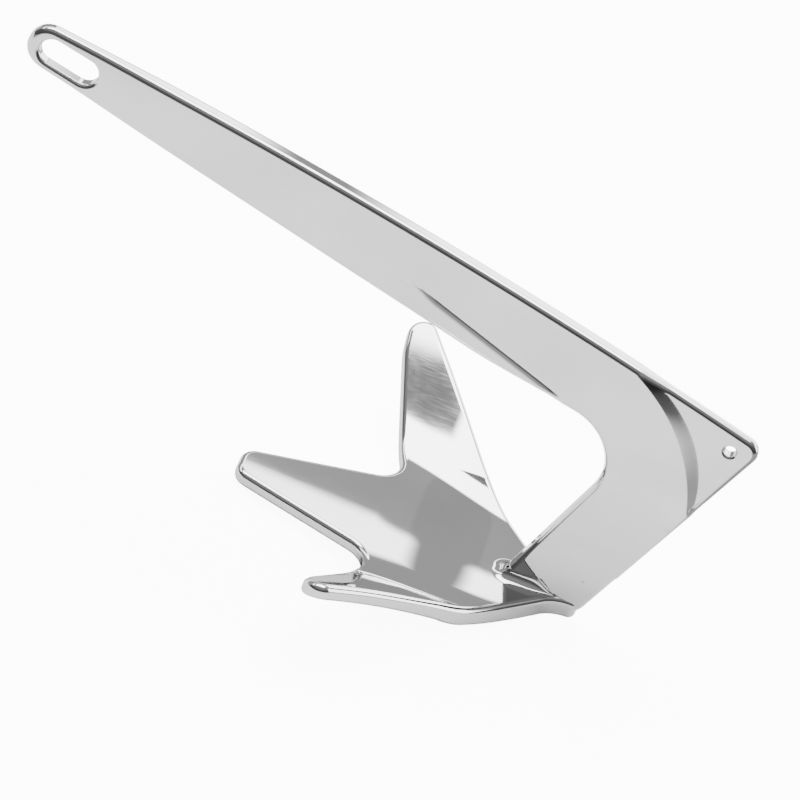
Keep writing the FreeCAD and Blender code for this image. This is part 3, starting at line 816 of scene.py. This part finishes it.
@dataclass
class HollowCorner:
    """Hollow round corner that leads the scoop's floor up into the arm.

    Lengths are millimetres in the claw frame, angles are degrees. The neck's edge starts at
    neck_start, (forward, side), and its side grows by neck_spread for each millimetre.
    """

    claw: Claw
    scoop: Scoop
    arm_half: float = 5.0
    arm_round: float = 3.0
    arm_lean: float = 20.2
    front: float = 91.7
    back: float = 60.0
    radius: float = 6.0
    least: float = 0.3
    fade: tuple[float, float] = (62.0, 78.0)
    sink: float = 1.5
    neck_start: tuple[float, float] = (65.3, 10.6)
    neck_spread: float = 1.05
    neck_square: float = 0.69
    foot_step: float = 1.0
    corner_points: int = 13
    face_points: int = 3
    steps: int = 10

    def foot(self) -> tuple[Array, Array]:
        """Outline of the arm on the floor, from its back on one side round to the other.

        Returns:
            Points as rows of (forward, side), and their outward normals.
        """
        reach = self.front - self.arm_round
        run = np.arange(self.back, reach, self.foot_step)
        angle = np.linspace(-math.pi / 2, 0.0, self.corner_points)
        flat = self.arm_half - self.arm_round
        corner = np.stack([reach + self.arm_round * np.cos(angle),
                           -flat + self.arm_round * np.sin(angle)], axis=1)
        side = np.stack([run, np.full(len(run), -self.arm_half)], axis=1)
        between = np.linspace(-flat, flat, self.face_points + 2)[1:-1]
        face = np.stack([np.full(self.face_points, self.front), between], axis=1)
        half_path = np.concatenate([side, corner])
        half_out = np.concatenate([np.tile([0.0, -1.0], (len(run), 1)),
                                   np.stack([np.cos(angle), np.sin(angle)], axis=1)])
        flip = np.array([1.0, -1.0])
        path = np.concatenate([half_path, face, half_path[::-1] * flip])
        ahead = np.tile([1.0, 0.0], (self.face_points, 1))
        return path, np.concatenate([half_out, ahead, half_out[::-1] * flip])

    def rim_loss(self, forward: Array, side: Array) -> Array:
        """How far the rounded rim of the scoop's neck lies below its upper face there.

        Args:
            forward: Distance of each point along the middle fluke.
            side: Distance of each point from the middle plane.

        Returns:
            The drop at each point, from its distance square to the neck's edge.
        """
        edge = self.neck_start[1] + self.neck_spread * (forward - self.neck_start[0])
        inset = (edge - np.abs(side)) * self.neck_square
        return round_drop(np.clip(inset, 0.0, None), self.scoop.rim_round)

    def build(self, skin: Skin) -> None:
        """Adds the corner as a closed strip carried round the arm's foot.

        At a turn of t the strip lies radius times (1 - sin t) out from the arm and radius
        times (1 - cos t) above the floor. Its radius grows by a smooth step from the back,
        and the strip leans with the arm. Three more rows close it inside the metal.

        Args:
            skin: Where the strip is collected.
        """
        path, out = self.foot()
        share = (path[:, 0] - self.fade[0]) / (self.fade[1] - self.fade[0])
        radius = self.least + (self.radius - self.least) * smooth_step(share)
        turn = np.linspace(0.0, math.pi / 2, self.steps + 1)[:, None]
        offset = radius * (1 - np.sin(turn))
        height = radius * (1 - np.cos(turn))
        plan = path[None] + out[None] * offset[:, :, None]
        plan[..., 0] -= height * math.tan(math.radians(self.arm_lean))
        base = self.scoop.upper(plan[..., 0], plan[..., 1])
        base = base - self.rim_loss(plan[..., 0], plan[..., 1])
        points = np.concatenate([plan, (base + height)[:, :, None]], axis=2)
        outwards = np.concatenate([out, np.zeros((len(out), 1))], axis=1)
        upwards = np.array([0.0, 0.0, 1.0])
        normals = np.sin(turn)[:, :, None] * outwards + np.cos(turn)[:, :, None] * upwards
        below = points[:1] - np.array([0.0, 0.0, self.sink])
        within = points[-1:] - outwards * self.sink
        corner = within.copy()
        corner[..., 2] = below[..., 2]
        inner = np.concatenate([within, corner, below])
        inner_normals = np.stack([np.tile(upwards, (len(path), 1)), -outwards,
                                  np.tile(-upwards, (len(path), 1))])
        ring = self.claw.to_working(np.concatenate([points, inner, points[:1]]))
        facing = self.claw.to_working(np.concatenate([normals, inner_normals, normals[:1]]))
        skin.add_grid(ring, facing, closed=False)
        for end in (0, -1):
            cap = ring[:-1, end]
            looking = self.claw.to_working(np.tile([-1.0, 0.0, 0.0], (len(cap), 1)))
            fan = np.arange(1, len(cap) - 1)
            skin.add(cap, looking, np.stack([np.zeros_like(fan), fan, fan + 1], axis=1))


def casting_place(shank: Shank) -> Matrix:
    """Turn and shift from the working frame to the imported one, read from the two mounts.

    The turn is the angle between the line from the slot's middle to the hole here and the
    same line in the record, and the shift then brings the holes together.

    Args:
        shank: The bar, whose slot and hole are the two mounts.

    Returns:
        The matrix from working millimetres to the scene's metres.
    """
    mounts = {mount["name"]: mount["pos_m"] for mount in frame["record"]["mounts"]}
    hole, eye = np.array(mounts["trip_line_hole"]), np.array(mounts["shackle_slot"])
    slope = math.radians(shank.slot_slope)
    middle = np.array(shank.slot_start) + shank.slot_span / 2 * np.array(
        [math.cos(slope), math.sin(slope)])
    span = np.array(shank.hole_centre) - middle
    turn = math.atan2(span[1], span[0]) - math.atan2(hole[2] - eye[2], hole[0] - eye[0])
    turned = Matrix.Rotation(turn, 4, "Y")
    start = turned @ Vector((shank.hole_centre[0] * MM, 0.0, shank.hole_centre[1] * MM))
    return Matrix.Translation(Vector(hole) - start) @ turned @ Matrix.Scale(MM, 4)


def material_tree(name: str) -> tuple[bpy.types.Material, bpy.types.NodeTree, bpy.types.Node]:
    """A new material with its node tree and its Principled shader.

    Args:
        name: Name of the material.

    Returns:
        The material, its tree and its shader.
    """
    material = bpy.data.materials.new(name)
    material.use_nodes = True
    tree = material.node_tree
    return material, tree, tree.nodes["Principled BSDF"]


def scaled_noise(tree: bpy.types.NodeTree, scale: tuple[float, float, float],
                 turn: float, detail: float) -> bpy.types.NodeSocket:
    """Noise on object coordinates, stretched by three scales and turned about Y.

    Args:
        tree: The material's node tree.
        scale: Waves per metre along the three axes.
        turn: Turn about Y, in radians.
        detail: Number of finer layers.

    Returns:
        The noise's value.
    """
    coordinates = tree.nodes.new("ShaderNodeTexCoord")
    mapping = tree.nodes.new("ShaderNodeMapping")
    mapping.inputs["Rotation"].default_value = (0.0, turn, 0.0)
    mapping.inputs["Scale"].default_value = scale
    noise = tree.nodes.new("ShaderNodeTexNoise")
    noise.inputs["Scale"].default_value = 1.0
    noise.inputs["Detail"].default_value = detail
    tree.links.new(coordinates.outputs["Object"], mapping.inputs["Vector"])
    tree.links.new(mapping.outputs["Vector"], noise.inputs["Vector"])
    return noise.outputs["Fac"]


def mapped_range(tree: bpy.types.NodeTree, value: bpy.types.NodeSocket,
                 source: tuple[float, float], target: tuple[float, float]) -> bpy.types.NodeSocket:
    """A value moved by a smooth step from one range to another and held beyond its ends.

    Args:
        tree: The node tree.
        value: The value.
        source: Where the step starts and ends.
        target: What it starts and ends at.

    Returns:
        The moved value.
    """
    node = tree.nodes.new("ShaderNodeMapRange")
    node.interpolation_type = "SMOOTHSTEP"
    for name, number in zip(("From Min", "From Max", "To Min", "To Max"), source + target):
        node.inputs[name].default_value = number
    tree.links.new(value, node.inputs["Value"])
    return node.outputs["Result"]


def math_node(tree: bpy.types.NodeTree, operation: str, first: bpy.types.NodeSocket,
              second: bpy.types.NodeSocket | float) -> bpy.types.NodeSocket:
    """One arithmetic step on a socket and a socket or number.

    Args:
        tree: The node tree.
        operation: Name of the step, as the Math node has it.
        first: The first value.
        second: The second value.

    Returns:
        The result.
    """
    node = tree.nodes.new("ShaderNodeMath")
    node.operation = operation
    tree.links.new(first, node.inputs[0])
    if isinstance(second, bpy.types.NodeSocket):
        tree.links.new(second, node.inputs[1])
    else:
        node.inputs[1].default_value = second
    return node.outputs["Value"]


@dataclass(frozen=True)
class PolishedSteel:
    """Mirror-polished cast stainless steel with the marks that hand polishing leaves."""

    bright: tuple[float, float, float, float] = (0.66, 0.66, 0.665, 1.0)
    dull: tuple[float, float, float, float] = (0.60, 0.60, 0.61, 1.0)
    cloud_scale: tuple[float, float, float] = (14.0, 14.0, 22.0)
    cloud_detail: float = 3.0
    cloud_colour: tuple[float, float] = (0.35, 0.65)
    cloud_gloss: tuple[float, float] = (0.3, 0.7)
    gloss: tuple[float, float] = (0.05, 0.02)
    mark_scale: tuple[float, float, float] = (60.0, 900.0, 900.0)
    mark_detail: float = 2.0
    mark_range: tuple[float, float] = (0.4, 0.7)
    mark_gloss: tuple[float, float] = (0.0, 0.01)
    mark_turn: float = 0.12

    def build(self) -> bpy.types.Material:
        """Makes the material: clouded gloss with fine rubbed marks along the shank.

        Returns:
            The material.
        """
        material, tree, shader = material_tree("polished_steel")
        cloud = scaled_noise(tree, self.cloud_scale, self.mark_turn, self.cloud_detail)
        marks = scaled_noise(tree, self.mark_scale, self.mark_turn, self.mark_detail)
        mix = tree.nodes.new("ShaderNodeMix")
        mix.data_type = "RGBA"
        mix.inputs["A"].default_value = self.dull
        mix.inputs["B"].default_value = self.bright
        shine = mapped_range(tree, cloud, self.cloud_colour, (0.0, 1.0))
        tree.links.new(shine, mix.inputs["Factor"])
        tree.links.new(mix.outputs["Result"], shader.inputs["Base Color"])
        soft = mapped_range(tree, cloud, self.cloud_gloss, self.gloss)
        rubbed = mapped_range(tree, marks, self.mark_range, self.mark_gloss)
        tree.links.new(math_node(tree, "ADD", soft, rubbed), shader.inputs["Roughness"])
        shader.inputs["Metallic"].default_value = 1.0
        return material


@dataclass(frozen=True)
class StudioPaper:
    """Pale paper: overexposed to the eye, and in reflections painted darker towards its edges, a
    painted pool of light round the casting.

    The places are metres on the floor, and each shade goes with the two ends of its place.
    """

    # painted pool of light: the colour the steel sees is painted darker in front of the casting,
    # further in front and to its right
    front: tuple[float, float] = (-0.44, -0.30)
    front_shade: tuple[float, float] = (0.20, 0.88)
    far_front: tuple[float, float] = (-0.85, -0.46)
    far_front_shade: tuple[float, float] = (0.12, 1.0)
    beside: tuple[float, float] = (0.235, 0.30)
    beside_shade: tuple[float, float] = (1.0, 0.25)
    seen: float = 0.95
    glow: float = 10.0
    white: tuple[float, float, float, float] = (1.0, 1.0, 1.0, 1.0)
    roughness: float = 0.9
    specular: float = 0.1

    def build(self) -> bpy.types.Material:
        """Makes the material: one even shade for camera rays, and for the steel's rays a painted
        pool of light, darker towards the paper's edges.

        Returns:
            The material.
        """
        material, tree, shader = material_tree("studio_paper")
        coordinates = tree.nodes.new("ShaderNodeTexCoord")
        axes = tree.nodes.new("ShaderNodeSeparateXYZ")
        path = tree.nodes.new("ShaderNodeLightPath")
        shade = tree.nodes.new("ShaderNodeMix")
        tree.links.new(coordinates.outputs["Object"], axes.inputs["Vector"])
        tree.links.new(path.outputs["Is Camera Ray"], shade.inputs["Factor"])
        # painted shade: the paper's colour for the steel's rays falls off in front, further in
        # front and to the right
        paper = mapped_range(tree, axes.outputs["Y"], self.front, self.front_shade)
        far_front = mapped_range(tree, axes.outputs["Y"], self.far_front, self.far_front_shade)
        beside = mapped_range(tree, axes.outputs["X"], self.beside, self.beside_shade)
        paper = math_node(tree, "MULTIPLY", math_node(tree, "MULTIPLY", paper, far_front), beside)
        tree.links.new(paper, shade.inputs["A"])
        shade.inputs["B"].default_value = self.seen
        tree.links.new(shade.outputs["Result"], shader.inputs["Base Color"])
        glow = math_node(tree, "MULTIPLY", path.outputs["Is Camera Ray"], self.glow)
        tree.links.new(glow, shader.inputs["Emission Strength"])
        shader.inputs["Emission Color"].default_value = self.white
        shader.inputs["Roughness"].default_value = self.roughness
        shader.inputs["Specular IOR Level"].default_value = self.specular
        return material


@dataclass(frozen=True)
class Surroundings:
    """Soft light by direction: lit paper behind, a grey wall over it, a panel overhead.

    Each pair is where an edge starts and ends, as a share of a unit direction's X, Y or Z.
    """

    behind: tuple[float, float] = (0.0, 0.10)
    sheet_light: float = 6.0
    sheet_top: tuple[float, float] = (0.567, 0.583)
    sheet_lean: float = 0.1
    wall_light: float = 0.62
    card_left: tuple[float, float] = (0.06, 0.095)
    card_right: tuple[float, float] = (0.11, 0.16)
    card_top: tuple[float, float] = (0.505, 0.525)
    card_shade: float = 0.05
    card_light: float = 0.53
    panel_light: float = 10.0
    panel_low: tuple[float, float] = (0.74, 0.80)
    panel_lean: float = 0.1
    panel_front: tuple[float, float] = (-0.071, -0.065)
    panel_right: tuple[float, float] = (0.32, 0.44)
    corner_left: tuple[float, float] = (-0.115, -0.09)
    corner_front: tuple[float, float] = (-0.085, -0.072)
    room_light: tuple[float, float] = (0.12, 0.36)
    room_rise: tuple[float, float] = (0.3, 0.8)
    white: tuple[float, float, float, float] = (1.0, 1.0, 1.0, 1.0)

    def back_light(self, tree: bpy.types.NodeTree,
                   axes: list[bpy.types.NodeSocket]) -> bpy.types.NodeSocket:
        """Light from behind: paper up to its top edge, grey wall over it, and a grey card.

        The card shades the paper where a direction is below the card's top or right of its
        left edge, as far as its right edge. Nothing behind is darker than the card's light.

        Args:
            tree: The world's node tree.
            axes: The direction's X, Y and Z.

        Returns:
            The strength of the light.
        """
        x, y, z = axes
        behind = mapped_range(tree, y, self.behind, (0.0, 1.0))
        leaning = math_node(tree, "ADD", math_node(tree, "MULTIPLY", x, self.sheet_lean), z)
        sheet = mapped_range(tree, leaning, self.sheet_top, (self.sheet_light, self.wall_light))
        open_left = math_node(tree, "MINIMUM",
                              mapped_range(tree, x, self.card_left, (1.0, self.card_shade)),
                              mapped_range(tree, z, self.card_top, (self.card_shade, 1.0)))
        past = math_node(tree, "MAXIMUM", open_left,
                         mapped_range(tree, x, self.card_right, (self.card_shade, 1.0)))
        sheet = math_node(tree, "MAXIMUM", math_node(tree, "MULTIPLY", sheet, past),
                          self.card_light)
        return math_node(tree, "MULTIPLY", behind, sheet)

    def top_light(self, tree: bpy.types.NodeTree,
                  axes: list[bpy.types.NodeSocket]) -> bpy.types.NodeSocket:
        """Light from the panel: above its lower edge, behind its front edge, left of its end.

        The front edge is slanted, and has a corner further forward on the right.

        Args:
            tree: The world's node tree.
            axes: The direction's X, Y and Z.

        Returns:
            The strength of the light.
        """
        x, y, z = axes
        panel = mapped_range(tree, z, self.panel_low, (0.0, self.panel_light))
        slanted = math_node(tree, "ADD", math_node(tree, "MULTIPLY", x, self.panel_lean), y)
        corner = math_node(tree, "MULTIPLY",
                           mapped_range(tree, x, self.corner_left, (0.0, 1.0)),
                           mapped_range(tree, y, self.corner_front, (0.0, 1.0)))
        front = math_node(tree, "MAXIMUM", corner,
                          mapped_range(tree, slanted, self.panel_front, (0.0, 1.0)))
        right = mapped_range(tree, x, self.panel_right, (1.0, 0.0))
        return math_node(tree, "MULTIPLY", math_node(tree, "MULTIPLY", panel, front), right)

    def build(self) -> bpy.types.World:
        """Makes the world: the brightest of the light behind, the panel and the dim room.

        Returns:
            The world.
        """
        world = bpy.data.worlds.new("studio_light")
        world.use_nodes = True
        tree = world.node_tree
        coordinates = tree.nodes.new("ShaderNodeTexCoord")
        split = tree.nodes.new("ShaderNodeSeparateXYZ")
        tree.links.new(coordinates.outputs["Generated"], split.inputs["Vector"])
        axes = [split.outputs[name] for name in "XYZ"]
        room = mapped_range(tree, axes[2], self.room_rise, self.room_light)
        lights = math_node(tree, "MAXIMUM", self.back_light(tree, axes),
                           self.top_light(tree, axes))
        background = tree.nodes["Background"]
        background.inputs["Color"].default_value = self.white
        tree.links.new(math_node(tree, "MAXIMUM", lights, room), background.inputs["Strength"])
        return world


@dataclass
class Studio:
    """The floor, the surroundings and the camera. Lengths are metres, the lens millimetres."""

    floor_half: float = 6.0
    paper: StudioPaper = StudioPaper()
    surroundings: Surroundings = Surroundings()
    target: tuple[float, float, float] = (0.03453, 0.0, 0.08511)
    back: tuple[float, float, float] = (-0.02268, -0.82341, 0.56701)
    right: tuple[float, float, float] = (0.91112, 0.21644, 0.35074)
    distance: float = 2.2
    lens: float = 189.9
    sensor: float = 36.0
    far_limit: float = 50.0

    def build_floor(self) -> None:
        """Lays one square of paper under the casting."""
        half = self.floor_half
        mesh = bpy.data.meshes.new("studio_floor")
        corners = [(-half, -half, 0.0), (half, -half, 0.0), (half, half, 0.0), (-half, half, 0.0)]
        mesh.from_pydata(corners, [], [(0, 1, 2, 3)])
        floor = bpy.data.objects.new("studio_floor", mesh)
        bpy.context.scene.collection.objects.link(floor)
        mesh.materials.append(self.paper.build())

    def build_camera(self) -> None:
        """Aims the camera as the photograph was taken, from its right and back directions."""
        data = bpy.data.cameras.new("camera")
        data.lens = self.lens
        data.sensor_width = self.sensor
        data.clip_end = self.far_limit
        camera = bpy.data.objects.new("camera", data)
        back = Vector(self.back).normalized()
        right = (Vector(self.right) - Vector(self.right).dot(back) * back).normalized()
        turn = Matrix((right, back.cross(right), back)).transposed().to_4x4()
        place = Vector(self.target) + back * self.distance
        camera.matrix_world = Matrix.Translation(place) @ turn
        bpy.context.scene.collection.objects.link(camera)
        bpy.context.scene.camera = camera

    def build(self) -> None:
        """Makes the floor, the light and the camera."""
        self.build_floor()
        bpy.context.scene.world = self.surroundings.build()
        self.build_camera()


def build_casting() -> bpy.types.Object:
    """Builds the casting's skin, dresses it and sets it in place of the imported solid.

    Returns:
        The casting.
    """
    claw = Claw()
    shank = Shank()
    scoop = Scoop(claw)
    skin = Skin()
    shank.build(skin)
    scoop.build(skin)
    HollowCorner(claw, scoop).build(skin)
    piece = skin.to_object("claw_anchor_skin", casting_place(shank))
    piece.data.materials.append(PolishedSteel().build())
    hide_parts(NODE)
    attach(piece, "root")
    LOG.info("%s: %d triangles", piece.name, len(piece.data.polygons))
    return piece


def main() -> None:
    """Builds the studio and the casting."""
    logging.basicConfig(level=logging.INFO)
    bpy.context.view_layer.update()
    Studio().build()
    build_casting()


if __name__ == "__main__":
    main()
